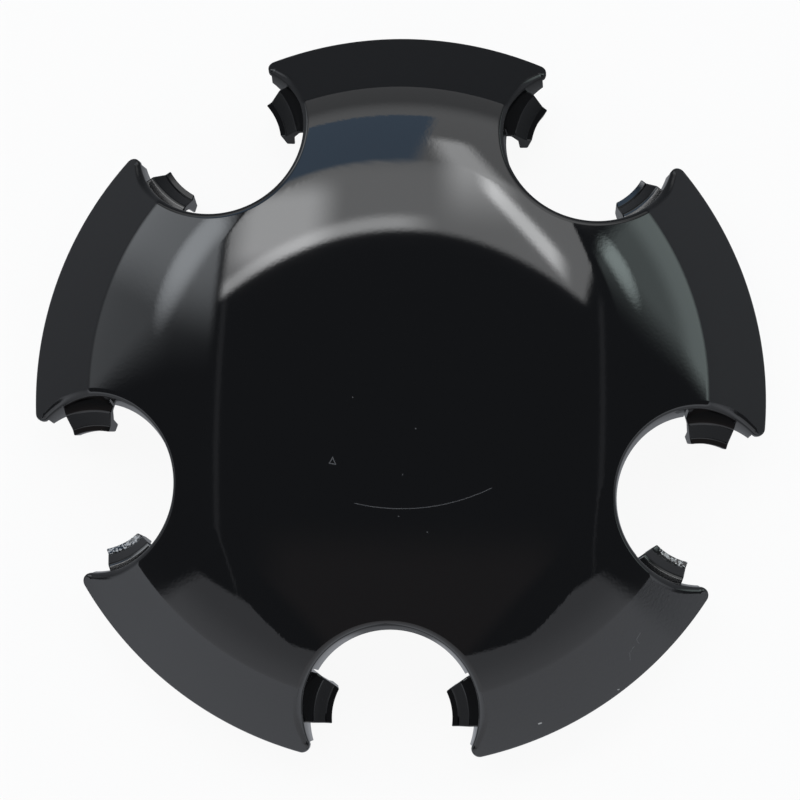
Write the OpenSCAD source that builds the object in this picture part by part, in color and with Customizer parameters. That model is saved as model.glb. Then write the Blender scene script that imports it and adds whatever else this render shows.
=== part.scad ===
// Five-arm push-on wheel centre cap, moulded as one piece.
// The seat ring under the arm ends is the plane z = 0 and the wheel axis is Z; the painted face looks up.

/* [Face] */
// Radius of the circle that the five arm ends lie on
outer_r = 86; // [84:0.5:90]
// Radius of curvature of the flat crown
crown_curve_r = 300; // [240:10:400]
// Width in plan of the shoulder, from the crown to the crease
shoulder_w = 18.5; // [14:0.5:24]
// Width in plan of the flange band, from the crease to the arm ends
flange_w = 15.5; // [13:0.25:18]
// Downward slope of the shoulder where it meets the flange band
shoulder_slope = 34; // [28:1:38]
// Downward slope of the straight flange band on the arm ends
flange_slope = 44; // [40:1:48]
// Radius of the crease between shoulder and flange band
bend_fillet_r = 8; // [4:0.5:12]
// Height of the upright lip round the arm ends
lip_h = 1.2; // [0.8:0.1:2]
// Rounding of the upper edge of that lip
lip_round_r = 0.9; // [0.4:0.1:1.2]
// Wall thickness of the shell, square to its face
shell_t = 2.5; // [2:0.1:3]

/* [Lug cut-outs] */
// Pitch circle diameter of the five lug cut-outs
lug_pcd = 150; // [147:0.5:152]
// Radius of a cut-out on the seat plane
cut_out_r = 19.6; // [18.5:0.1:20.5]
// Draft of the cut-out walls, so that a cut-out is wider at the face
cut_out_draft = 4.5; // [2:0.5:6]
// Plan radius of the rounded arm tips
tip_round_r = 2; // [1.2:0.1:2.5]
// Depth of the skirt round a cut-out, straight down from the face
skirt_depth = 12.5; // [10:0.5:14]
// Thickness of the skirt round a cut-out
skirt_t = 2; // [1.5:0.1:2.5]
// Distance in plan from the arm ends to the skirts
skirt_end_gap = 3; // [2.5:0.25:6]
// How far the short skirts beside the arm tips reach below the seat plane
tip_skirt_drop = 5; // [2:0.5:8]

/* [Snap clips] */
// Angle round the cut-out between the gripping edge of a clip and the arm tip beyond it
clip_tip_gap = 10.5; // [9:0.1:12]
// Angle that one gripping edge covers round the cut-out
clip_span = 34; // [30:1:37]
// How far the sides of a clip lean from radial towards the wheel axis
clip_lean = 10; // [4:1:12]
// Thickness of the clip plate
clip_t = 2; // [1.6:0.1:2.4]
// Depth of the pocket over a clip, behind the cut-out wall on the seat plane
leg_setback = 1.6; // [1.2:0.1:2.4]
// Angle by which the pointed ends of the pocket stay clear of the sides of the clip
pocket_margin = 1.5; // [1:0.25:3]
// Height of the outer end of the shelf over the seat plane
shelf_h = 3.4; // [2.6:0.1:4]
// Fall of the shelf over its width
shelf_fall = 0.3; // [0:0.1:1]
// Distance from the lug axis to the inner end of the shelf
shelf_r = 18.2; // [17.8:0.1:18.8]
// Rounding between the shelf and the ramp
shelf_round_r = 1.2; // [0.6:0.1:1.6]
// Distance from the lug axis to the gripping edge
grip_r = 14.1; // [13.8:0.1:14.6]
// Drop of the gripping edge below the seat plane
grip_drop = 3.6; // [2.8:0.1:4.4]
// Width of the barb shoulder between the gripping edge and the foot of the ramp
barb_w = 1.3; // [1:0.1:1.6]
// Fall of the barb shoulder towards the gripping edge
barb_fall = 0.4; // [0.2:0.1:0.6]
// Rounding at the foot of the ramp
foot_round_r = 0.6; // [0.3:0.1:1]
// Distance from the lug axis to the end of the clip, behind the gripping edge
clip_end_r = 14.9; // [14.7:0.1:15.4]
// Drop of the clip ends below the seat plane
clip_drop = 12.6; // [11:0.1:14]
// Slot between a clip and the skirt on its hub side, as an angle round the cut-out
clip_gap = 2.4; // [2:0.1:3.2]

/* [Back ribs] */
// Thickness of the stiffening ribs
rib_t = 1.6; // [1.2:0.1:2]
// Height of the ribs below the shell
rib_h = 4; // [2.5:0.25:5]
// Radius of the ring rib
ring_rib_r = 30; // [24:0.5:36]
// Clearance of the ribs from the seat plane
rib_clear = 1; // [0.5:0.25:2]

/* [Hidden] */
$fn = 96;

arm_count = 5;
first_arm = 90;
arm_step = 360 / arm_count;

// How far the cutting bodies run past the part, and how deep joined bodies overlap
margin = 10;
overlap = 1;

// Surfaces that would only touch cross each other by this much
seam = 0.02;

// Distances from the axis at which the crown, the shoulder and the skirts end
bend_at_r = outer_r - flange_w;
shoulder_start_r = bend_at_r - shoulder_w;
skirt_reach_r = outer_r - skirt_end_gap;

// Centres of the rounded arm tips, and their angle round the cut-out from its hub side
lug_r = lug_pcd / 2;
tip_r = outer_r - tip_round_r;
tip_swing = cut_out_r + tip_round_r;
tip_turn = acos((lug_r * lug_r + tip_r * tip_r - tip_swing * tip_swing) / (2 * lug_r * tip_r));
tip_at = acos((lug_r * lug_r + tip_swing * tip_swing - tip_r * tip_r) / (2 * lug_r * tip_swing));

// Where the gripping edge of a clip begins and ends, and where its sides cross the cut-out wall
grip_from = tip_at - clip_tip_gap - clip_span;
grip_to = grip_from + clip_span;
side_turn = asin(grip_r * sin(clip_lean) / cut_out_r);
wall_from = grip_from - clip_lean + side_turn;
wall_to = grip_to - clip_lean + side_turn;

// The pocket over a clip is a round hole that meets the cut-out wall at its two pointed ends
leg_r = cut_out_r + leg_setback;
pocket_half = (wall_to - wall_from) / 2 - pocket_margin;
pocket_at = (leg_r * leg_r - cut_out_r * cut_out_r) / (2 * (leg_r - cut_out_r * cos(pocket_half)));
pocket_r = leg_r - pocket_at;

// Slopes and lengths of the face, from the axis outwards
crown_slope = asin(shoulder_start_r / crown_curve_r);
shoulder_r = (bend_at_r - shoulder_start_r) / (sin(shoulder_slope) - sin(crown_slope));
flange_start_r = bend_at_r + bend_fillet_r * (sin(flange_slope) - sin(shoulder_slope));
flange_start_h = lip_h + (outer_r - flange_start_r) * tan(flange_slope);
bend_h = flange_start_h + bend_fillet_r * (cos(shoulder_slope) - cos(flange_slope));
shoulder_h = bend_h + shoulder_r * (cos(crown_slope) - cos(shoulder_slope));
crown_h = shoulder_h + crown_curve_r * (1 - cos(crown_slope));

// Where the rounded lip leaves the flange band
lip_turn = 90 - flange_slope;
lip_cut = lip_round_r * tan(lip_turn / 2);

// Lowest and highest planes used by the cutting bodies
floor_z = -clip_drop - margin;
roof_z = crown_h + margin;

// Steps that each arc of the face is drawn in
crown_steps = 4;
shoulder_steps = 5;
bend_steps = 2;
lip_steps = 3;

// A point of the face with its slope: [radius, height, slope]
function arc_points(start_r, start_h, curve_r, from, to, steps) = [
    for (i = [0 : steps])
        let (slope = from + (to - from) * i / steps)
        [start_r + curve_r * (sin(slope) - sin(from)), start_h - curve_r * (cos(from) - cos(slope)), slope]
];

face = concat(
    arc_points(0, crown_h, crown_curve_r, 0, crown_slope, crown_steps),
    [for (p = arc_points(shoulder_start_r, shoulder_h, shoulder_r, crown_slope, shoulder_slope, shoulder_steps))
        if (p[2] > crown_slope) p],
    [for (p = arc_points(bend_at_r, bend_h, bend_fillet_r, shoulder_slope, flange_slope, bend_steps))
        if (p[2] > shoulder_slope) p]
);

// The flange band carried straight on past the arm ends
over_r = outer_r + margin;
flange_end = [over_r, lip_h - (over_r - outer_r) * tan(flange_slope)];

lip = arc_points(outer_r - lip_cut * cos(flange_slope), lip_h + lip_cut * sin(flange_slope),
                 lip_round_r, flange_slope, 90, lip_steps);

// The underside runs parallel to the face and ends on the seat plane
function under(p) = [p[0] - shell_t * sin(p[2]), p[1] - shell_t * cos(p[2])];
seat_inner_r = outer_r - shell_t / sin(flange_slope) + lip_h / tan(flange_slope);

// Angle from the hub side of a cut-out that is safely outside the arm tips
past_tips = 135;

// Radius of the cut-out wall at height z
function wall_r(z) = cut_out_r + z * tan(cut_out_draft);

module shell() {
    rotate_extrude()
        polygon(concat(
            [for (p = face) [p[0], p[1]]],
            [for (p = lip) [p[0], p[1]]],
            [[outer_r, 0], [seat_inner_r, 0]],
            [for (i = [len(face) - 1 : -1 : 1]) under(face[i])],
            [[0, crown_h - shell_t]]
        ));
}

// Everything below the face, let down by drop, out to the radius reach
module below_face(drop, reach) {
    intersection() {
        rotate_extrude()
            polygon(concat(
                [for (p = face) [p[0], p[1] - drop]],
                [[flange_end[0], flange_end[1] - drop], [over_r, floor_z - margin], [0, floor_z - margin]]
            ));
        translate([0, 0, floor_z])
            cylinder(h = roof_z - floor_z, r = reach);
    }
}

// Places its children at every cut-out: X points to the wheel axis, the lug axis is the origin
module at_cut_outs() {
    for (i = [0 : arm_count - 1])
        rotate([0, 0, first_arm + arm_step * (i + 0.5)])
            translate([lug_r, 0, 0])
                rotate([0, 0, 180])
                    children();
}

// Its children and their mirror image across the line to the wheel axis
module both_sides() {
    children();
    mirror([0, 1, 0])
        children();
}

// Turns a profile of [radius, height] through part of a circle
module sector(from, span) {
    rotate([0, 0, from])
        rotate_extrude(angle = span)
            children();
}

module cut_out() {
    translate([0, 0, floor_z])
        cylinder(h = roof_z - floor_z, r1 = wall_r(floor_z), r2 = wall_r(roof_z));
}

module skirt_profile() {
    polygon([
        [wall_r(floor_z) - overlap, floor_z], [wall_r(floor_z) + skirt_t, floor_z],
        [wall_r(roof_z) + skirt_t, roof_z], [wall_r(roof_z) - overlap, roof_z]
    ]);
}

module everything_below(level) {
    translate([-over_r, -over_r, floor_z - margin])
        cube([2 * over_r, 2 * over_r, level + margin - floor_z]);
}

// The skirt runs between the clips, and again from each clip to the arm tip beyond it
module skirt() {
    hub_half = wall_from - clip_gap;
    tip_start = wall_to - pocket_margin;
    tip_span = past_tips - tip_start;
    sector(-hub_half, 2 * hub_half)
        skirt_profile();
    difference() {
        union() {
            sector(tip_start, tip_span)
                skirt_profile();
            sector(-tip_start - tip_span, tip_span)
                skirt_profile();
        }
        everything_below(-tip_skirt_drop);
    }
}

module skirts() {
    difference() {
        intersection() {
            at_cut_outs()
                skirt();
            below_face(shell_t / 2, skirt_reach_r);
        }
        below_face(skirt_depth, over_r);
    }
}

// Cuts the sharp arm tip back to a round corner between the outer circle and the cut-out wall
module tip_corner() {
    corner = [lug_r - tip_r * cos(tip_turn), tip_r * sin(tip_turn)];
    outward = [-cos(tip_turn), sin(tip_turn)];
    inward = -corner / norm(corner);
    wedge = 4 * tip_round_r;
    translate([0, 0, floor_z])
        linear_extrude(roof_z - floor_z)
            difference() {
                polygon([corner, corner + wedge * outward, corner + wedge * (outward + inward),
                         corner + wedge * inward]);
                translate(corner)
                    circle(r = tip_round_r + seam);
            }
}

module tip_corners() {
    at_cut_outs()
        both_sides()
            tip_corner();
}

// Unit vector at an angle
function toward(angle) = [cos(angle), sin(angle)];

// Keeps only what lies between the two leaning sides of a clip
module between_sides() {
    ahead = toward(grip_to - clip_lean);
    behind = toward(grip_from - clip_lean);
    intersection() {
        children();
        translate([0, 0, floor_z])
            linear_extrude(roof_z - floor_z)
                polygon([
                    grip_r * toward(grip_from) - barb_w * behind,
                    grip_r * toward(grip_from) + cut_out_r * behind,
                    grip_r * toward(grip_to) + cut_out_r * ahead,
                    grip_r * toward(grip_to) - barb_w * ahead
                ]);
    }
}

// Section of the clip plate: shelf, ramp, barb shoulder and lead-in
module clip_profile() {
    foot = [grip_r + barb_w, barb_fall - grip_drop];
    brink = [shelf_r, shelf_h - shelf_fall];
    ramp_slope = atan2(brink[1] - foot[1], brink[0] - foot[0]);
    barb_slope = atan2(barb_fall, barb_w);
    shelf_slope = atan2(shelf_fall, leg_r - shelf_r);
    foot_cut = foot_round_r * tan((ramp_slope - barb_slope) / 2);
    brink_cut = shelf_round_r * tan((ramp_slope - shelf_slope) / 2);
    foot_arc = arc_points(foot[0] - foot_cut * cos(barb_slope), foot[1] - foot_cut * sin(barb_slope),
                          -foot_round_r, -barb_slope, -ramp_slope, lip_steps);
    brink_arc = arc_points(brink[0] - brink_cut * cos(ramp_slope), brink[1] - brink_cut * sin(ramp_slope),
                           shelf_round_r, -ramp_slope, -shelf_slope, lip_steps);
    polygon(concat(
        [[leg_r + clip_t, shelf_h], [leg_r, shelf_h]],
        [for (i = [lip_steps : -1 : 0]) [brink_arc[i][0], brink_arc[i][1]]],
        [for (i = [lip_steps : -1 : 0]) [foot_arc[i][0], foot_arc[i][1]]],
        [
            [grip_r, -grip_drop], [clip_end_r, -clip_drop], [clip_end_r + clip_t, -clip_drop],
            [foot[0] + clip_t, -grip_drop - clip_t / 2],
            [brink[0] + clip_t / 2, brink[1] - clip_t], [leg_r + clip_t, shelf_h - clip_t]
        ]
    ));
}

// The leg joins the clip plate to the shell behind the pocket
module leg_profile() {
    polygon([
        [cut_out_r - overlap, shelf_h - clip_t / 2], [leg_r + clip_t, shelf_h - clip_t / 2],
        [leg_r + clip_t, roof_z], [cut_out_r - overlap, roof_z]
    ]);
}

module one_leg() {
    middle = (wall_from + wall_to) / 2;
    difference() {
        between_sides()
            sector(wall_from - clip_lean, wall_to - wall_from + 2 * clip_lean)
                leg_profile();
        translate([pocket_at * cos(middle), pocket_at * sin(middle), floor_z - overlap])
            cylinder(h = roof_z - floor_z + 2 * overlap, r = pocket_r);
    }
}

module one_clip() {
    between_sides()
        sector(wall_from - clip_lean, grip_to - wall_from + 2 * clip_lean)
            clip_profile();
}

module legs() {
    intersection() {
        at_cut_outs()
            both_sides()
                one_leg();
        below_face(shell_t / 2, outer_r - lip_round_r);
    }
}

module clips() {
    at_cut_outs()
        both_sides()
            one_clip();
}

// A ring round the hub and one straight rib along each arm
module ribs() {
    difference() {
        intersection() {
            union() {
                difference() {
                    translate([0, 0, floor_z])
                        cylinder(h = roof_z - floor_z, r = ring_rib_r + rib_t / 2);
                    translate([0, 0, floor_z - overlap])
                        cylinder(h = roof_z - floor_z + 2 * overlap, r = ring_rib_r - rib_t / 2);
                }
                for (i = [0 : arm_count - 1])
                    rotate([0, 0, first_arm + arm_step * i])
                        translate([ring_rib_r, -rib_t / 2, floor_z])
                            cube([outer_r, rib_t, roof_z - floor_z]);
            }
            below_face(shell_t / 2, seat_inner_r - overlap);
        }
        below_face(shell_t / cos(flange_slope) + rib_h, over_r);
        everything_below(rib_clear);
    }
}

module center_cap() {
    color("#141517")
        union() {
            difference() {
                union() {
                    shell();
                    skirts();
                    legs();
                    ribs();
                }
                at_cut_outs()
                    cut_out();
                tip_corners();
            }
            clips();
        }
}

center_cap();
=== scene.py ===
import math

import bpy
import numpy as np
from mathutils import Matrix, Vector

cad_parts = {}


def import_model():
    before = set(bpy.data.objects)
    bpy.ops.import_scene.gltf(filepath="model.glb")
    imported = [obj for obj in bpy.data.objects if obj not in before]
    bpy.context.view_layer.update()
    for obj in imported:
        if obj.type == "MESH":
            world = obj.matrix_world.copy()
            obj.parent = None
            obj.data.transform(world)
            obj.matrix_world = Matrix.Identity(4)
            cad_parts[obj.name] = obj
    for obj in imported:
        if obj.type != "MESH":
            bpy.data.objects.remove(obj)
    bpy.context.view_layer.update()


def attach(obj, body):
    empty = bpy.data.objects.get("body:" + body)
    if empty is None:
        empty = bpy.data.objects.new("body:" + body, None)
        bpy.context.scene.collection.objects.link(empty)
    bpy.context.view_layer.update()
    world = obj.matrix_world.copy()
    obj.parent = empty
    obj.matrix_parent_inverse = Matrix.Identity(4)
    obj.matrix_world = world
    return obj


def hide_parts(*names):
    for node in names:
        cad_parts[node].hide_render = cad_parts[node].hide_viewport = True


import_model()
MM = 0.001

# Sizes of the cap in millimetres, the same as in the solid
OUTER_R, LIP_H, SHELL_T = 86.0, 1.2, 2.5
CROWN_R, SHOULDER_AT, BEND_AT, BEND_R = 300.0, 52.0, 70.5, 8.0
A_SHOULDER, A_FLANGE = math.radians(34), math.radians(44)
LUG_AT, CUT_R, DRAFT = 75.0, 19.6, math.tan(math.radians(4.5))
TIP_R, SKIRT_DEPTH, SKIRT_T, TIP_SKIRT_Z = 2.0, 12.5, 2.0, -5.0
CLIP_TIP_GAP, CLIP_SPAN, CLIP_LEAN, CLIP_GAP, POCKET_MARGIN = np.radians((10.5, 34.0, 10.0, 2.4, 1.5))
CLIP_T, LEG_R, SHELF_H, SHELF_R, SHELF_FALL = 2.0, CUT_R + 1.6, 3.4, 18.2, 0.3
GRIP_R, GRIP_Z, BARB_W, BARB_FALL, END_R, END_Z = 14.1, -3.6, 1.3, 0.4, 14.9, -12.6
RIB_T, RIB_H, RING_R, RIB_CLEAR = 1.6, 4.0, 30.0, 1.0
RIM_ROUND, TIP_ROUND, LIP_ROUND, EDGE_ROUND = 1.8, 1.1, 0.9, 0.3
HALF = math.pi / 5

# Steps of the mesh: rounds of the two solvers, the distance at which points become one, the first and
# the last run of stations beside a cut-out, the stations between them, and the counts of sections
FIX_ROUNDS, HALVINGS, JOIN = 60, 50, 2e-5
LONE_TO, LONE_COUNT, END_COUNT = math.radians(35), 33, 13
STATION, LEAST_STEP, CREASE_STEPS, CREASE_MARGIN = math.radians(1.1), 0.4, 4, 0.35
ACROSS, TIP_COUNT, CLIP_COUNT, LEG_COUNT, RIB_COUNT, RING_STEP = 26, 13, 30, 49, 40, 3

# Where the rim changes its thickness along the tip and the arm end, how far a leg starts behind the
# wall, the bevel of a clip's sides, and how far the straight ribs stop short
TIP_THINS, SEAT_THINS, LEG_SINK, CLIP_BEVEL, RIB_SHORT = 0.25, 0.03, 0.04, 0.2, 1.0

# Arcs of the face from the axis outwards: crown, shoulder, bend, then the straight flange band
A_CROWN = math.asin(SHOULDER_AT / CROWN_R)
SHOULDER_R = (BEND_AT - SHOULDER_AT) / (math.sin(A_SHOULDER) - math.sin(A_CROWN))
FLANGE_AT = BEND_AT + BEND_R * (math.sin(A_FLANGE) - math.sin(A_SHOULDER))
FLANGE_Z = LIP_H + (OUTER_R - FLANGE_AT) * math.tan(A_FLANGE)
BEND_Z = FLANGE_Z + BEND_R * (math.cos(A_SHOULDER) - math.cos(A_FLANGE))
SHOULDER_Z = BEND_Z + SHOULDER_R * (math.cos(A_CROWN) - math.cos(A_SHOULDER))
CROWN_Z = SHOULDER_Z + CROWN_R * (1 - math.cos(A_CROWN))
ARCS = ((SHOULDER_AT, SHOULDER_R, A_CROWN, A_SHOULDER), (BEND_AT, BEND_R, A_SHOULDER, A_FLANGE))


def slope(rho, off=0.0):
    """Downward slope angle of the face at the radius rho, or of the surface parallel to it
    off millimetres below."""
    rho = np.asarray(rho, float)
    a = np.arcsin(rho / (CROWN_R - off))
    for start, radius, a0, a1 in ARCS:
        s = math.sin(a0) + (rho - start + off * math.sin(a0)) / (radius - off)
        a = np.where(s > math.sin(a0), np.arcsin(np.clip(s, -1, math.sin(a1))), a)
    return a


def height(rho, off=0.0):
    """Height of the face, or of the parallel surface, at the radius rho."""
    rho = np.asarray(rho, float)
    a = slope(rho, off)
    z = CROWN_Z - off - (CROWN_R - off) * (1 - np.cos(a))
    for (start, radius, a0, _), top in zip(ARCS, (SHOULDER_Z, BEND_Z)):
        arc = top - off * math.cos(a0) - (radius - off) * (math.cos(a0) - np.cos(a))
        z = np.where(rho > start - off * math.sin(a0), arc, z)
    start = FLANGE_AT - off * math.sin(A_FLANGE)
    flat = FLANGE_Z - off * math.cos(A_FLANGE) - (rho - start) * math.tan(A_FLANGE)
    return np.where(rho > start, flat, z)


def under(rho):
    """Height of the shell's underside, which ends on the seat plane."""
    return np.maximum(height(rho, SHELL_T), 0.0)


def unit(angle):
    return np.stack([np.cos(angle), np.sin(angle)], -1)


# Plan of half an arm: its axis is +X, the line to the neighbouring lug axis is at HALF
LUG = LUG_AT * unit(HALF)
TIP_IN, TIP_SWING = OUTER_R - TIP_R, CUT_R + TIP_R
TIP_TURN = math.acos((LUG_AT**2 + TIP_IN**2 - TIP_SWING**2) / (2 * LUG_AT * TIP_IN))
TIP_BETA = math.acos((LUG_AT**2 + TIP_SWING**2 - TIP_IN**2) / (2 * LUG_AT * TIP_SWING))
TIP = TIP_IN * unit(HALF - TIP_TURN)
SEAT_T = SHELL_T / math.sin(A_FLANGE) - LIP_H / math.tan(A_FLANGE)
TIP_T = TIP_R - EDGE_ROUND / 2
EASE_FROM = math.radians(88)

# A clip round its cut-out: its gripping edge, where its leaning sides cross the wall, and its pocket
GRIP_TO = TIP_BETA - CLIP_TIP_GAP
GRIP_FROM = GRIP_TO - CLIP_SPAN
SIDE_TURN = math.asin(GRIP_R * math.sin(CLIP_LEAN) / CUT_R) - CLIP_LEAN
WALL_FROM, WALL_TO = GRIP_FROM + SIDE_TURN, GRIP_TO + SIDE_TURN
POCKET_HALF = (WALL_TO - WALL_FROM) / 2 - POCKET_MARGIN
POCKET_AT = (LEG_R**2 - CUT_R**2) / (2 * (LEG_R - CUT_R * math.cos(POCKET_HALF)))


def outline(kind, at):
    """Points of the outline on the seat plane, with outward normal, draft, edge rounding
    and rim thickness."""
    at = np.asarray(at, float)
    one = np.ones_like(at)
    if kind == "cut":
        n = -unit(HALF + math.pi + at)
        ease = np.clip((at - EASE_FROM) / (TIP_BETA - EASE_FROM), 0, 1)
        ease = ease * ease * (3 - 2 * ease)
        return LUG - CUT_R * n, n, DRAFT * one, RIM_ROUND + (TIP_ROUND - RIM_ROUND) * ease, SKIRT_T * one
    if kind == "tip":
        first = HALF + TIP_BETA
        n = unit(first + (HALF - TIP_TURN - first) * at)
        ease = at * at * (3 - 2 * at)
        thick = np.interp(at, (0, TIP_THINS), (SKIRT_T, TIP_T))
        return TIP + TIP_R * n, n, DRAFT * (1 - ease), TIP_ROUND + (LIP_ROUND - TIP_ROUND) * ease, thick
    n = unit(at)
    first = HALF - TIP_TURN
    thick = np.interp(at, (first - SEAT_THINS, first), (SEAT_T, TIP_T))
    return OUTER_R * n, n, 0 * one, LIP_ROUND * one, thick


class Rim:
    """Sections through the rim at points of the outline. x runs from the outline into
    the material, z is up."""

    def __init__(self, kind, at):
        self.p, self.n, self.draft, self.round, self.thick = outline(kind, at)

    def rho(self, x):
        return np.hypot(*(self.p - self.n * np.asarray(x)[..., None]).T)

    def place(self, x, z):
        return np.concatenate([self.p - self.n * x[..., None], z[..., None]], -1)

    def rise(self, x):
        """Angle at which the face rises from the outline inwards."""
        q = self.p - self.n * x[..., None]
        r = np.hypot(*q.T)
        return np.arctan(np.tan(slope(r)) * (q * self.n).sum(-1) / r)

    def fillet(self, steps=8):
        """Rounded edge between face and wall, as points from the face to the wall."""
        z = height(self.rho(0 * self.draft)) - self.round
        a = self.rise(0 * self.draft)
        for _ in range(FIX_ROUNDS):
            x = z * self.draft + self.round * np.sqrt(1 + self.draft**2)
            a = self.rise(x - self.round * np.sin(a))
            z = height(self.rho(x - self.round * np.sin(a))) - self.round * np.cos(a)
        first, last = np.pi / 2 + a, np.pi - np.arctan(self.draft)
        out = []
        for k in range(steps + 1):
            t = first + (last - first) * k / steps
            out.append(self.place(x + self.round * np.cos(t), z + self.round * np.sin(t)))
        return np.stack(out, 1)

    def level(self, surface, back):
        """Where the drafted wall, or the face back millimetres behind it, meets a surface."""
        z = surface(self.rho(back))
        for _ in range(FIX_ROUNDS):
            z = surface(self.rho(z * self.draft + back))
        return z * self.draft + back, z

    def foot(self, surface):
        """Foot of the rim on a surface: wall, rounded edge, and the way to the back of the rim."""
        x, z = self.level(surface, 0 * self.thick)
        x1 = x + EDGE_ROUND
        z1 = surface(self.rho(x1))
        top = z + EDGE_ROUND
        points = [self.place(top * self.draft, top)]
        for t in (1 / 3, 2 / 3, 1):
            bx = (1 - t) ** 2 * top * self.draft + 2 * t * (1 - t) * x + t * t * x1
            bz = (1 - t) ** 2 * top + 2 * t * (1 - t) * z + t * t * z1
            points.append(self.place(bx, bz))
        points.append(self.place(*self.level(surface, self.thick)))
        return np.stack(points, 1)


def skirt_foot(rho):
    return height(rho) - SKIRT_DEPTH


def tip_skirt_foot(rho):
    return TIP_SKIRT_Z + 0 * rho


def solve_beta(radius, lo, hi):
    """Angle round the cut-out at which the edge of the face lies at this radius."""
    for _ in range(HALVINGS):
        mid = (lo + hi) / 2
        q = Rim("cut", [mid]).fillet(1)[0, 0]
        lo, hi = (mid, hi) if math.hypot(q[0], q[1]) < radius else (lo, mid)
    return (lo + hi) / 2


def stations():
    """Angles round the cut-out in three runs, with a station at each step of the wall and the crease."""
    gap0 = WALL_FROM - CLIP_GAP
    gap1 = WALL_TO - POCKET_MARGIN
    radii = [BEND_AT + (FLANGE_AT - BEND_AT) * k / CREASE_STEPS for k in range(CREASE_STEPS + 1)]
    radii += [BEND_AT - CREASE_MARGIN, FLANGE_AT + CREASE_MARGIN]
    fixed = sorted([solve_beta(radius, LONE_TO, gap1) for radius in radii] + [LONE_TO, gap0, gap1])
    grid = [b for b in np.arange(LONE_TO, gap1, STATION)
            if min(abs(b - f) for f in fixed) > LEAST_STEP * STATION]
    middle = np.array(sorted(fixed + grid))
    first, last = np.linspace(0, LONE_TO, LONE_COUNT), np.linspace(gap1, TIP_BETA, END_COUNT)
    return first, middle, last, gap0, gap1


class Mesh:
    """Collects polygons with a zone number, then joins equal points."""

    def __init__(self):
        self.points, self.faces, self.zones, self.count = [], [], [], 0

    def add(self, points, faces, zone):
        self.points.append(np.asarray(points, float).reshape(-1, 3))
        self.faces += [tuple(i + self.count for i in f) for f in faces]
        self.zones += [zone] * len(faces)
        self.count += len(self.points[-1])

    def grid(self, rows, zone, flip=False):
        """rows is an array of shape (a, b, 3)."""
        a, b = rows.shape[:2]
        faces = []
        for i in range(a - 1):
            for j in range(b - 1):
                f = (i * b + j, (i + 1) * b + j, (i + 1) * b + j + 1, i * b + j + 1)
                faces.append(f[::-1] if flip else f)
        self.add(rows, faces, zone)

    def copied(self, turn, mirror):
        """Points and faces turned about the axis, after mirroring across the arm if asked."""
        v = np.vstack(self.points)
        if mirror:
            v = v * [1, -1, 1]
        c, s = math.cos(turn), math.sin(turn)
        v = v @ np.array([[c, s, 0], [-s, c, 0], [0, 0, 1]])
        return v, [f[::-1] for f in self.faces] if mirror else self.faces


def joined(parts, zones):
    """One mesh from (points, faces) pairs: equal points become one, collapsed polygons go."""
    v = np.vstack([p for p, _ in parts])
    key = np.round(v / JOIN).astype(np.int64)
    _, first, same = np.unique(key, axis=0, return_index=True, return_inverse=True)
    same = same.ravel()
    faces, kept, base = [], [], 0
    for (p, fs), zs in zip(parts, zones):
        for f, z in zip(fs, zs):
            g = [int(same[i + base]) for i in f]
            g = [x for k, x in enumerate(g) if x != g[k - 1]]
            if len(set(g)) > 2:
                faces.append(g)
                kept.append(z)
        base += len(p)
    return v[first], faces, kept


def coons(bottom, top, left, right):
    """Plan points between four edges. bottom and top run along the first index,
    left and right along the second."""
    u = np.linspace(0, 1, len(bottom))[:, None, None]
    w = np.linspace(0, 1, len(left))[None, :, None]
    flat = (1 - u) * (1 - w) * bottom[0] + u * (1 - w) * bottom[-1]
    flat = flat + (1 - u) * w * top[0] + u * w * top[-1]
    return (1 - w) * bottom[:, None] + w * top[:, None] + (1 - u) * left[None] + u * right[None] - flat


def line(a, b, n):
    """n points from a to b."""
    t = np.linspace(0, 1, n)[:, None]
    return (1 - t) * np.asarray(a) + t * np.asarray(b)


def field(edge_a, edge_b, edge_c, edge_top, surface):
    """Surface over half an arm, from its plan's edges: three runs beside the cut-out, and the end."""
    def arc(q):
        r, t = math.hypot(*q), math.atan2(q[1], q[0])
        return r * unit(np.linspace(0, t, ACROSS + 1))
    rows = np.stack([arc(q) for q in edge_b])
    inner = coons(line((0, 0), rows[0][0], len(edge_a)), edge_a,
                  line((0, 0), edge_a[0], ACROSS + 1), rows[0])
    outer = coons(line(rows[-1][0], edge_top[0], len(edge_c)), edge_c, rows[-1], edge_top)
    out = []
    for plan in (inner, rows, outer):
        z = surface(np.hypot(plan[..., 0], plan[..., 1]))
        out.append(np.concatenate([plan, z[..., None]], -1))
    return out


FACE, EDGE, REST = 0, 1, 2


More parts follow.
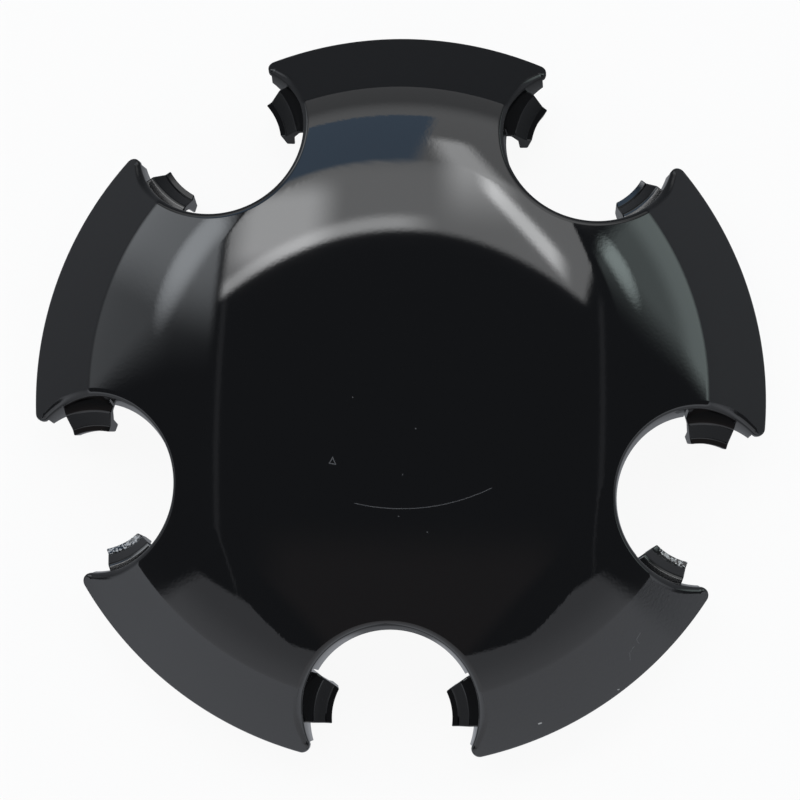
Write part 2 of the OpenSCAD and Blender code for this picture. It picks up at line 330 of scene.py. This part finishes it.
def half_arm():
    """Shell over half an arm: face, underside, rounded edge, rim and skirts."""
    run_a, run_b, run_c, gap0, gap1 = stations()
    tip, half = np.linspace(0, 1, TIP_COUNT), TIP_COUNT // 2
    turn = (HALF - TIP_TURN) * np.linspace(1, 0, ACROSS - half + 1)
    runs = [Rim("cut", run_a), Rim("cut", run_b), Rim("cut", run_c), Rim("tip", tip), Rim("out", turn)]
    fillets = [r.fillet() for r in runs]
    shallow = [r.foot(under) for r in runs]
    deep = [r.foot(skirt_foot) for r in runs[:2]] + [r.foot(tip_skirt_foot) for r in runs[2:]]

    def edges(points):
        a, b, c, t, o = points
        beside = np.vstack([c, t[1:half + 1]])
        end = np.vstack([t[half:], o[1:]])[::-1]
        return [e[:, :2] for e in (a, b, beside, end)]

    m = Mesh()
    for plan in field(*edges([f[:, 0] for f in fillets]), height):
        m.grid(plan, FACE)
    for plan in field(*edges([s[:, -1] for s in shallow]), under):
        m.grid(plan, REST, flip=True)
    spans = [run_a, run_b, run_c, None, None]
    for fil, low, far, at in zip(fillets, shallow, deep, spans):
        m.grid(fil, EDGE)
        m.grid(np.stack([fil[:, -1], low[:, 0]], 1), REST)
        for k in range(len(fil) - 1):
            two = slice(k, k + 2)
            if at is not None and not gap0 < (at[k] + at[k + 1]) / 2 < gap1:
                wall = np.concatenate([low[two, :1], far[two], low[two, -1:]], 1)
                m.grid(wall, REST)
            else:
                m.grid(low[two], REST)
    for run, k, turned in ((1, int(np.argmin(abs(run_b - gap0))), True), (2, 0, False), (2, -1, True)):
        low, far = shallow[run][k], deep[run][k]
        ring = np.vstack([low[:1], far, low[:0:-1]])
        face = tuple(range(len(ring)))
        m.add(ring, [face[::-1] if turned else face], REST)
    return m


def rounded(corners, steps=4):
    """Closed profile from (x, z, radius) corners."""
    out = []
    for k, (x, z, r) in enumerate(corners):
        b = np.array([x, z])
        u, w = (np.array(corners[j % len(corners)][:2]) - b for j in (k - 1, k + 1))
        u, w = u / np.linalg.norm(u), w / np.linalg.norm(w)
        d = r / math.tan(math.acos(np.clip(u @ w, -1, 1)) / 2)
        t = np.linspace(0, 1, steps + 1)[:, None] if r else np.array([[0.5]])
        out.append((1 - t) ** 2 * (b + u * d) + 2 * t * (1 - t) * b + t * t * (b + w * d))
    return np.vstack(out)


def inset(profile, by):
    """The profile moved inwards; it runs counter-clockwise."""
    ahead = np.roll(profile, -1, 0) - profile
    ahead /= np.linalg.norm(ahead, axis=1)[:, None]
    n = np.stack([-ahead[:, 1], ahead[:, 0]], 1)
    before = np.roll(n, 1, 0)
    return profile + by * (n + before) / (1 + (n * before).sum(1))[:, None]


def swept(rings, closed=False):
    """Closed solid through rings of points."""
    rings = np.asarray(rings)
    a, b = rings.shape[:2]
    faces = []
    for i in range(a if closed else a - 1):
        for j in range(b):
            k, i1, j1 = i * b, (i + 1) % a * b, (j + 1) % b
            faces.append((k + j, i1 + j, i1 + j1, k + j1))
    if not closed:
        faces += [tuple(range(b)), tuple(range((a - 1) * b, a * b))[::-1]]
    v = rings.reshape(-1, 3)
    outward = sum(np.dot(v[f[0]], np.cross(v[f[k]], v[f[k + 1]]))
                  for f in faces for k in range(1, len(f) - 1))
    m = Mesh()
    m.add(v, faces if outward > 0 else [f[::-1] for f in faces], REST)
    return m


# Profile of a clip's plate: radius from the cut-out's axis, height and rounding of each corner
CLIP = (
    (LEG_R + CLIP_T, SHELF_H, 0), (LEG_R, SHELF_H, 0.4), (SHELF_R, SHELF_H - SHELF_FALL, 1.2),
    (GRIP_R + BARB_W, GRIP_Z + BARB_FALL, 0.5), (GRIP_R, GRIP_Z, 0.2),
    (END_R, END_Z, 0.3), (END_R + CLIP_T, END_Z, 0.3),
    (GRIP_R + BARB_W + CLIP_T, GRIP_Z - CLIP_T / 2, 0.8),
    (SHELF_R + CLIP_T / 2, SHELF_H - SHELF_FALL - CLIP_T, 0.8),
    (LEG_R + CLIP_T, SHELF_H - CLIP_T, 0),
)


def leaning(edge, r):
    """Plan point at a radius on the leaning line that leaves the gripping edge at an angle."""
    r = np.asarray(r, float)[..., None]
    run = np.sqrt(r**2 - (GRIP_R * math.sin(CLIP_LEAN)) ** 2) - GRIP_R * math.cos(CLIP_LEAN)
    return GRIP_R * unit(edge) + run * unit(edge - CLIP_LEAN)


def at_lug(plan, z):
    """From the frame of a cut-out, where X points to the wheel axis, to half an arm."""
    turn = HALF + math.pi
    c, s = math.cos(turn), math.sin(turn)
    turned = LUG + plan @ np.array([[c, s], [-s, c]])
    return np.concatenate([turned, np.asarray(z, float)[..., None]], -1)


def clip_plate():
    """Shelf, ramp, barb and lead-in of one clip."""
    profile = rounded(CLIP)
    ease = CLIP_BEVEL / GRIP_R
    full = np.linspace(GRIP_FROM + ease, GRIP_TO - ease, CLIP_COUNT)
    small = inset(profile, CLIP_BEVEL)
    sections = [(GRIP_FROM, small), *[(a, profile) for a in full], (GRIP_TO, small)]
    return swept([at_lug(leaning(a, q[:, 0]), q[:, 1]) for a, q in sections])


def pocket_wall(edge):
    """Radius at which the leaning line leaves the round pocket, or zero where it misses it."""
    away = GRIP_R * unit(edge) - POCKET_AT * unit((WALL_FROM + WALL_TO) / 2)
    along = away @ unit(edge - CLIP_LEAN)
    inside = along**2 - away @ away + (LEG_R - POCKET_AT) ** 2
    if inside < 0:
        return 0.0
    return float(np.hypot(*(GRIP_R * unit(edge) + (math.sqrt(inside) - along) * unit(edge - CLIP_LEAN))))


def clip_leg():
    """Leg that joins the clip plate to the shell behind the pocket."""
    rings = []
    for a in np.linspace(GRIP_FROM, GRIP_TO, LEG_COUNT):
        low = SHELF_H - CLIP_T / 2
        high = float(height(np.hypot(*at_lug(leaning(a, LEG_R), 0)[:2]))) - SHELL_T / 2
        ring = []
        for r, z in ((0, high), (0, low), (LEG_R + CLIP_T, low), (LEG_R + CLIP_T, high)):
            r = r or max(pocket_wall(a), CUT_R + z * DRAFT + LEG_SINK)
            ring.append(at_lug(leaning(a, r), z))
        rings.append(ring)
    return swept(rings)


def rib_section(rho, across):
    """Four corners of a rib below the shell at this radius."""
    z = max(float(height(rho)) - SHELL_T / math.cos(A_FLANGE) - RIB_H, RIB_CLEAR)
    roof = float(height(rho)) - SHELL_T / 2
    return [(across[0], roof), (across[0], z), (across[1], z), (across[1], roof)]


def ring_rib():
    """Ring under the crown from which the straight ribs start."""
    corners = rib_section(RING_R, (RING_R - RIB_T / 2, RING_R + RIB_T / 2))
    turns = np.radians(range(0, 360, RING_STEP))
    rings = [[(r * math.cos(t), r * math.sin(t), z) for r, z in corners] for t in turns]
    return swept(rings, closed=True)


def arm_rib():
    """Straight rib from the ring to the arm end."""
    rings = []
    for rho in np.linspace(RING_R, OUTER_R - SEAT_T - RIB_SHORT, RIB_COUNT):
        rings.append([(rho, y, z) for y, z in rib_section(rho, (-RIB_T / 2, RIB_T / 2))])
    return swept(rings)


def repeated(kinds, mirrored=True, turns=5):
    """Copies of meshes at every arm, and mirrored across it."""
    out, zones = [], []
    for m in kinds:
        for k in range(turns):
            for mirror in (False, True)[: 1 + mirrored]:
                out.append(m.copied(math.pi / 2 + 2 * HALF * k, mirror))
                zones.append(m.zones)
    return joined(out, zones)


def build(name, points, faces, zones=None, sharp=35):
    """A smooth mesh object in metres. The face takes its exact normals."""
    me = bpy.data.meshes.new(name)
    me.from_pydata((points * MM).tolist(), [], faces)
    me.validate()
    me.shade_smooth()
    me.set_sharp_from_angle(angle=math.radians(sharp))
    if zones is not None:
        zones = np.array(zones)
        start = np.array([p.loop_start for p in me.polygons])
        total = np.array([p.loop_total for p in me.polygons])
        corner_zone = np.repeat(zones, total)
        vert = np.zeros(len(me.loops), np.int64)
        me.loops.foreach_get("vertex_index", vert)
        on_face = np.zeros(len(points), bool)
        on_face[vert[corner_zone == FACE]] = True
        normals = np.array([c.vector for c in me.corner_normals])
        rho = np.hypot(points[:, 0], points[:, 1])
        a = slope(rho)
        flat = points[:, :2] / np.maximum(rho, 1e-9)[:, None] * np.sin(a)[:, None]
        exact = np.concatenate([flat, np.cos(a)[:, None]], 1)
        use = on_face[vert] & (corner_zone != REST)
        normals[use] = exact[vert[use]]
        me.normals_split_custom_set(normals.tolist())
    ob = bpy.data.objects.new(name, me)
    bpy.context.scene.collection.objects.link(ob)
    return ob


def camera():
    """Camera at the photograph's viewpoint, fitted to the cap's outline, cut-outs and clips."""
    tilt_x, tilt_y, roll = -0.098, -0.032, -0.024
    shift, lift = Vector((-0.193, 0.659, -573.0)) * MM, Vector((0, 0, 1.0 * MM))
    turn = Matrix.Rotation(tilt_x, 3, "X") @ Matrix.Rotation(tilt_y, 3, "Y")
    turn = turn @ Matrix.Rotation(roll, 3, "Z")
    data = bpy.data.cameras.new("camera")
    data.lens, data.sensor_width = 109.55, 36.0
    data.clip_start, data.clip_end = 0.01, 20.0
    cam = bpy.data.objects.new("camera", data)
    place = turn.transposed() @ -shift + lift
    cam.matrix_world = Matrix.Translation(place) @ turn.transposed().to_4x4()
    bpy.context.scene.collection.objects.link(cam)
    bpy.context.scene.camera = cam


class Nodes:
    """Short hand for a node tree."""

    def __init__(self, tree):
        self.tree = tree
        tree.nodes.clear()

    def add(self, kind, inputs=None, **settings):
        node = self.tree.nodes.new(kind)
        for k, v in settings.items():
            setattr(node, k, v)
        for k, v in (inputs or {}).items():
            if isinstance(v, bpy.types.NodeSocket):
                self.tree.links.new(v, node.inputs[k])
            else:
                node.inputs[k].default_value = v
        return node

    def blend(self, share, first, second):
        """Colour between two others, by the share of the second."""
        node = self.add("ShaderNodeMix", {0: share, 6: first, 7: second}, data_type="RGBA")
        return node.outputs[2]


class Maths(Nodes):
    """Node tree that works out levels of light or wear from numbers."""

    def ramp(self, value, start, end, low=0.0, high=1.0):
        """Soft step of a value between two limits."""
        limits = {"Value": value, "From Min": start, "From Max": end, "To Min": low, "To Max": high}
        return self.add("ShaderNodeMapRange", limits, interpolation_type="SMOOTHSTEP").outputs["Result"]

    def chain(self, operation, values):
        """One operation over all the values in turn."""
        out = values[0]
        for v in values[1:]:
            out = self.add("ShaderNodeMath", {0: out, 1: v}, operation=operation).outputs[0]
        return out

    def times(self, *values):
        return self.chain("MULTIPLY", values)

    def plus(self, *values):
        return self.chain("ADD", values)

    def ratio(self, a, b):
        return self.chain("DIVIDE", (a, b))

    def most(self, *values):
        return self.chain("MAXIMUM", values)

    def least(self, *values):
        return self.chain("MINIMUM", values)

    def size(self, value):
        """The value without its sign."""
        return self.most(value, self.times(value, -1.0))

    def band(self, value, start, end, soft):
        """One between two limits, falling off softly outside them."""
        return self.times(self.ramp(value, start - soft, start), self.ramp(value, end + soft, end))


# Colours of the plastic, of its scratches and of its chips
BLACK, GREY, CHIP = (0.003, 0.0033, 0.004, 1), (0.2, 0.2, 0.21, 1), (0.45, 0.45, 0.45, 1)
WHITE = (1, 1, 1, 1)

# Roughness of the crown, what flanges and marks add to it, and how far a scratch pales the plastic
ROUGH, FLANGE_ROUGH, WORN_ROUGH, SCRATCH_SHARE = 0.035, 0.1, 0.4, 0.4

# Orange peel: its scale, its depth in metres and its strength on the crown and on the arms
PEEL_SCALE, PEEL_DEPTH, PEEL_CROWN, PEEL_ARMS = 1300.0, 0.00002, 0.05, 0.3

# Marks of use in plan, in mm: an arc by its centre, radius, ends and half width, lines by points and
# half width, and round specks by place. MARK_SOFT softens their edges, and the grain breaks up chips.
HAIRLINE = ((1.0, 18.4), 46.0, -8.3, 21.8, 0.07)
NICK = ([(-13.7, -16.4), (-14.4, -17.8), (-13.0, -18.0), (-13.7, -16.4)], 0.1)
SPECKS, SPECK_R = ((4.8, -9.6), (2.1, -20.0), (1.4, -29.3), (7.9, -32.7), (-9.5, -2.9)), 0.15
EDGE_NICKS = [([(34.1, -75.3), (34.7, -75.1)], 0.15), ([(52.3, -67.1), (52.6, -67.0)], 0.1)]
SCUFFS = [
    ([(56.9, -53.9), (56.1, -55.4), (56.7, -56.3)], 0.07),
    ([(55.6, -57.0), (54.6, -58.6), (54.9, -60.2)], 0.07),
]
CHIPPED_CLIPS = [([(63.0, -34.4), (67.4, -37.4)], 1.1), ([(-68.9, -37.6), (-60.5, -34.5)], 1.1)]
MARK_SOFT, GRAIN_SCALE, GRAIN_LIMITS = 0.06, 1600.0, (0.46, 0.54)


class Wear(Maths):
    """Marks of use on a surface, each masked in plan."""

    def __init__(self, tree):
        super().__init__(tree)
        self.where = self.add("ShaderNodeTexCoord").outputs["Object"]
        self.plan = self.vector("MULTIPLY", {0: self.where, 1: (1, 1, 0)})

    def vector(self, operation, inputs, output=0):
        return self.add("ShaderNodeVectorMath", inputs, operation=operation).outputs[output]

    def stretch(self, start, end, half):
        """One near the straight line between two points."""
        base = (start[0] * MM, start[1] * MM, 0)
        run = ((end[0] - start[0]) * MM, (end[1] - start[1]) * MM, 0)
        offset = self.vector("SUBTRACT", {0: self.plan, 1: base})
        along = self.vector("DOT_PRODUCT", {0: offset, 1: run}, "Value")
        share = self.times(along, 1 / (run[0] ** 2 + run[1] ** 2))
        share = self.least(self.most(share, 0.0), 1.0)
        foot = self.vector("SCALE", {0: run, "Scale": share})
        return self.within(self.vector("DISTANCE", {0: offset, 1: foot}, "Value"), half)

    def within(self, away, half):
        """One nearer than half a width, with a soft edge."""
        return self.ramp(away, (half + MARK_SOFT) * MM, (half - MARK_SOFT) * MM)

    def from_point(self, point):
        """Distance in plan from a point."""
        return self.vector("DISTANCE", {0: self.plan, 1: (point[0] * MM, point[1] * MM, 0)}, "Value")

    def speck(self, point, radius):
        """One inside a small round mark."""
        return self.within(self.from_point(point), radius)

    def arc(self, centre, radius, left, right, half):
        """Curved scratch on the near side of its centre, between two places across."""
        off = self.plus(self.from_point(centre), -radius * MM)
        place = self.add("ShaderNodeSeparateXYZ", {0: self.plan}).outputs
        near = self.ramp(place["Y"], centre[1] * MM, (centre[1] - 1) * MM)
        ends = self.band(place["X"], left * MM, right * MM, 0.5 * MM)
        return self.times(self.within(self.size(off), half), near, ends)

    def mark(self, line):
        """One near any stretch of a line."""
        points, half = line
        return self.most(*[self.stretch(a, b, half) for a, b in zip(points, points[1:])])

    def grain(self, scale, start, end):
        """Noise in the material, cut to patches between two limits."""
        noise = self.add("ShaderNodeTexNoise", {"Vector": self.where, "Scale": scale, "Detail": 3.0})
        return self.ramp(noise.outputs["Fac"], start, end)


def plastic():
    """Gloss black moulded plastic. Its orange peel is stronger on the arms, and it keeps the hairline
    scratch, the nicks and the chipped clip ends."""
    mat = bpy.data.materials.new("gloss_black")
    mat.use_nodes = True
    n = Wear(mat.node_tree)
    level = n.add("ShaderNodeSeparateXYZ", {0: n.where}).outputs["Z"]
    lines = [n.mark(m) for m in [NICK] + SCUFFS]
    specks = [n.speck(point, SPECK_R) for point in SPECKS]
    scratched = n.most(n.arc(*HAIRLINE), *lines, *specks)
    chipped = n.times(n.most(*[n.mark(m) for m in CHIPPED_CLIPS]), n.grain(GRAIN_SCALE, *GRAIN_LIMITS),
                      n.ramp(level, -2 * MM, -3 * MM))
    nicked = n.most(*[n.mark(m) for m in EDGE_NICKS])
    shade = n.blend(n.times(scratched, SCRATCH_SHARE), BLACK, GREY)
    pale = n.blend(n.most(chipped, nicked), shade, CHIP)
    far = n.vector("LENGTH", {0: n.plan}, "Value")
    peel = n.add("ShaderNodeTexNoise", {
        "Vector": n.where, "Scale": PEEL_SCALE, "Detail": 2.0, "Roughness": 0.5})
    strength = n.ramp(far, 50 * MM, 60 * MM, PEEL_CROWN, PEEL_ARMS)
    bump = n.add("ShaderNodeBump", {
        "Height": peel.outputs["Fac"], "Strength": strength, "Distance": PEEL_DEPTH})
    matt = n.times(n.ramp(far, 64 * MM, 76 * MM), n.ramp(level, 0.0, 1 * MM), FLANGE_ROUGH)
    rough = n.plus(ROUGH, matt, n.times(n.most(scratched, chipped, nicked), WORN_ROUGH))
    shader = n.add("ShaderNodeBsdfPrincipled", {
        "Base Color": pale, "Roughness": rough, "IOR": 1.5, "Normal": bump.outputs["Normal"]})
    n.add("ShaderNodeOutputMaterial", {"Surface": shader.outputs["BSDF"]})
    return mat


# Floor: side and distance below the clip ends in metres, colour, and share and colour of its own glow,
# which reflections see with painted shade
FLOOR_SIZE, FLOOR_GAP, FLOOR_PALE = 40.0, 0.00005, (0.8, 0.8, 0.8, 1)
GLOW_SHARE, GLOW_TINT = 0.93, (0.95, 0.985, 1.06, 1)


def floor(level):
    """Pale floor that the camera sees as the white background, with the shadow kept. Reflections see a
    glow on it with painted shade: white on the near side, darker behind the cap, and a painted shadow
    around it."""
    bpy.ops.mesh.primitive_plane_add(size=FLOOR_SIZE, location=(0, 0, level))
    ob = bpy.context.object
    ob.name = "floor"
    mat = bpy.data.materials.new("floor")
    mat.use_nodes = True
    n = Maths(mat.node_tree)
    ray = n.add("ShaderNodeLightPath").outputs
    place = n.add("ShaderNodeTexCoord").outputs["Object"]
    where = n.add("ShaderNodeSeparateXYZ", {0: place}).outputs
    plain = n.add("ShaderNodeBsdfDiffuse", {"Color": FLOOR_PALE})
    aside = n.ratio(n.size(where["X"]), n.most(where["Y"], 0.01))
    around = n.add("ShaderNodeVectorMath", {0: place}, operation="LENGTH").outputs["Value"]
    # Painted shade in the glow that reflections see: darkest straight behind the cap, full on the near
    # side, and a painted shadow within about 85 mm of the axis
    near = n.times(n.ramp(where["Y"], -0.02, -0.15, 0.34, 1.15), n.ramp(aside, 0.6, 1.1, 0.35, 1.0),
                   n.ramp(around, 0.085, 0.11, 0.6, 1.0))
    glow_and_painted_shade = n.most(ray["Is Camera Ray"], near)
    tint = n.blend(ray["Is Camera Ray"], GLOW_TINT, WHITE)
    white = n.add("ShaderNodeEmission", {"Color": tint, "Strength": glow_and_painted_shade})
    part = n.times(n.most(ray["Is Camera Ray"], ray["Is Glossy Ray"]), GLOW_SHARE)
    mix = n.add("ShaderNodeMixShader", {0: part, 1: plain.outputs[0], 2: white.outputs[0]})
    n.add("ShaderNodeOutputMaterial", {"Surface": mix.outputs[0]})
    ob.data.materials.append(mat)


# Levels of the room's light, where 1 is white. The pane takes light off.
OVERHEAD, HAZE, FRAME_LINE, PANE = 0.11, 0.07, 0.2, -0.7
CEILING_NEAR, CEILING_FAR, CEILING_END = 2.5, 1.6, 0.65
LEFT_GLOW, ARCH_RIM, STREAK, GLARE, SIDE_SPOT = 4.5, 3.5, 8.0, 4.2, 3.2

# Its colours: near side, haze, ceiling, pane and the two side walls
NEAR_TINT, HAZE_TINT, CEILING_TINT = (0.97, 0.99, 1.05), (1.25, 0.95, 0.85), (0.99, 1.0, 1.01)
PANE_TINT, LEFT_TINT, RIGHT_TINT = (1.4, 1.0, 0.45), (0.95, 1.0, 1.05), (0.9, 1.06, 1.04)

# Least divisor, which keeps the places of level directions finite
LEVEL = 0.02


class Room(Maths):
    """Light of the room for each direction. A direction is named by where it meets a level ceiling one
    unit above the cap: `across` to the right, `deep` away from the camera's near side. `fan` is across
    for each unit of deep."""

    def __init__(self, tree):
        super().__init__(tree)
        direction = self.add("ShaderNodeTexCoord").outputs["Generated"]
        way = self.add("ShaderNodeSeparateXYZ", {0: direction}).outputs
        self.z = way["Z"]
        up = self.most(self.z, LEVEL)
        self.across, self.deep = self.ratio(way["X"], up), self.ratio(way["Y"], up)
        self.below = self.times(self.deep, -1.0)
        self.wide = self.size(self.across)
        self.fan = self.ratio(way["X"], self.most(way["Y"], LEVEL))

    def spot(self, x, y, reach):
        """Round soft spot at a place of the ceiling, with the square of its radius."""
        dx, dy = self.plus(self.across, -x), self.plus(self.deep, -y)
        return self.ramp(self.plus(self.times(dx, dx), self.times(dy, dy)), reach, 0.0)

    def panel(self):
        """Outline of the bright ceiling behind the dark opening, with the arch between them."""
        right = self.ramp(self.plus(self.across, self.times(self.deep, -0.28)), 0.27, 0.25)
        inside = self.times(self.ramp(self.across, -0.415, -0.395), right)
        beyond = self.times(self.ramp(self.deep, 0.55, 0.8), self.ramp(self.fan, -0.95, -0.5),
                            self.ramp(self.fan, 0.95, 0.5))
        return self.times(self.most(inside, beyond), self.ramp(self.arch(), 0.42, 0.44))

    def arch(self):
        """How deep a place lies, counted from a curve that bends towards the cap at both sides."""
        shift = self.plus(self.across, 0.03)
        return self.plus(self.deep, self.times(shift, shift))

    def ceiling(self):
        """Light of the bright ceiling, with its brighter left part, rim, slanting streak and glare."""
        far = self.times(self.ramp(self.deep, 0.56, 0.66),
                         self.ramp(self.deep, 1.8, 3.0, CEILING_FAR, CEILING_END))
        body = self.plus(self.ramp(self.deep, 0.66, 0.56, 0.0, CEILING_NEAR), far)
        left = self.patch((-0.34, -0.24, 0.09), (0.4, 0.5, 0.08), LEFT_GLOW)
        rim = self.times(self.ramp(self.across, 0.05, -0.05), self.ramp(self.arch(), 0.475, 0.45),
                         ARCH_RIM)
        slant = self.plus(self.deep, self.times(self.across, 1.15))
        streak = self.times(self.band(slant, 0.70, 0.72, 0.03), self.band(self.across, 0.16, 0.27, 0.05),
                            STREAK)
        glare = self.patch((0.10, 0.15, 0.08), (0.62, 0.95, 0.2), GLARE)
        return self.times(self.panel(), self.plus(body, left, rim, streak, glare))

    def patch(self, across, deep, level):
        """Soft patch of the ceiling: limits and softness across and deep, and its light."""
        return self.times(self.band(self.across, *across), self.band(self.deep, *deep), level)

    def pane(self):
        """Bluish part of the ceiling, as what it takes off the light there."""
        side = self.ramp(self.plus(self.across, self.times(self.deep, -0.1)), -0.04, -0.1)
        return self.times(self.panel(), self.band(self.deep, 0.66, 1.75, 0.08), side, PANE)

    def left_wall(self):
        """Light of the left wall, with a soft spot."""
        body = self.times(self.ramp(self.fan, -2.4, -1.35, 0.9, 2.4), self.ramp(self.deep, 0.12, 0.4))
        lit = self.plus(body, self.times(self.spot(-0.68, 0.56, 0.1), SIDE_SPOT))
        inside = self.times(self.low(), self.ramp(self.across, -0.41, -0.43))
        return self.times(inside, self.ramp(self.fan, -0.75, -0.98), lit)

    def right_wall(self):
        """Light of the right wall, with a smaller spot."""
        body = self.times(self.ramp(self.deep, 0.26, 0.6), self.ramp(self.z, 0.55, 0.35, 1.2, 2.1))
        lit = self.plus(body, self.times(self.spot(0.68, 0.58, 0.04), SIDE_SPOT))
        inside = self.times(self.low(), self.ramp(self.across, 0.43, 0.47))
        return self.times(inside, self.ramp(self.fan, 0.9, 1.1), lit)

    def low(self):
        """Falling off of the side walls' light towards the floor."""
        return self.ramp(self.z, 0.02, 0.2, 0.35, 1.0)

    def near_side(self):
        """Pale near side of the room, whose edge steps back in the middle."""
        edge = self.plus(0.62, self.times(self.band(self.across, -0.5, 0.6, 0.05), 0.38))
        steep = self.ratio(self.below, self.most(self.wide, LEVEL))
        return self.times(self.ramp(self.plus(self.below, self.times(edge, -1.0)), -0.03, 0.04),
                          self.ramp(steep, 0.70, 0.80), self.ramp(self.z, 0.65, 0.3, 0.62, 0.88))

    def haze(self):
        """Faint warm light low in the dark opening."""
        return self.times(self.ramp(self.deep, -0.14, -0.26), self.ramp(self.wide, 0.34, 0.22), HAZE)

    def frame_lines(self):
        """Thin bright edges at both sides of the dark opening, bent outwards on the near side."""
        both = self.plus(self.edge_line(-0.397, 0.2, 0.46), self.edge_line(0.378, 0.11, -0.8))
        return self.times(both, self.band(self.deep, -0.62, 0.27, 0.06), FRAME_LINE)

    def edge_line(self, place, bend_from, bend):
        """Thin line at a place across, which bends beyond a place on the near side."""
        bent = self.times(self.most(self.plus(self.below, -bend_from), 0.0), bend)
        return self.band(self.plus(self.across, -place, bent), -0.003, 0.003, 0.005)

    def tinted(self, *parts):
        """Sum of levels of light, each with its colour."""
        out = None
        for level, color in parts:
            part = self.add("ShaderNodeVectorMath", {0: color, "Scale": level}, operation="SCALE")
            sums = {0: out, 1: part.outputs[0]} if out else {0: part.outputs[0]}
            out = self.add("ShaderNodeVectorMath", sums, operation="ADD").outputs[0]
        return out


def world():
    """World that lights the cap as the room does and shows the camera a white background."""
    w = bpy.data.worlds.new("world")
    bpy.context.scene.world = w
    w.use_nodes = True
    n = Room(w.node_tree)
    light = n.tinted(
        (n.plus(OVERHEAD, n.near_side(), n.frame_lines()), NEAR_TINT), (n.haze(), HAZE_TINT),
        (n.ceiling(), CEILING_TINT), (n.pane(), PANE_TINT),
        (n.left_wall(), LEFT_TINT), (n.right_wall(), RIGHT_TINT))
    ray = n.add("ShaderNodeLightPath").outputs
    room = n.add("ShaderNodeBackground", {"Color": light, "Strength": 1.0})
    white = n.add("ShaderNodeBackground", {"Color": WHITE, "Strength": 1.0})
    seen = n.most(ray["Is Camera Ray"], ray["Is Transmission Ray"])
    mix = n.add("ShaderNodeMixShader", {0: seen, 1: room.outputs[0], 2: white.outputs[0]})
    n.add("ShaderNodeOutputWorld", {"Surface": mix.outputs[0]})


def ride(piece, material):
    """Gives a piece its material and lets it stand for the cap."""
    piece.data.materials.append(material)
    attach(piece, "root")
    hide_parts("center_cap")


black = plastic()
ride(build("cap_shell", *repeated([half_arm()])), black)
ride(build("cap_clips", *repeated([clip_plate(), clip_leg()])), black)
ride(build("cap_ring_rib", *repeated([ring_rib()], False, 1)), black)
ride(build("cap_arm_ribs", *repeated([arm_rib()], False)), black)
camera()
floor(END_Z * MM - FLOOR_GAP)
world()
bpy.context.scene.view_settings.view_transform = "Standard"
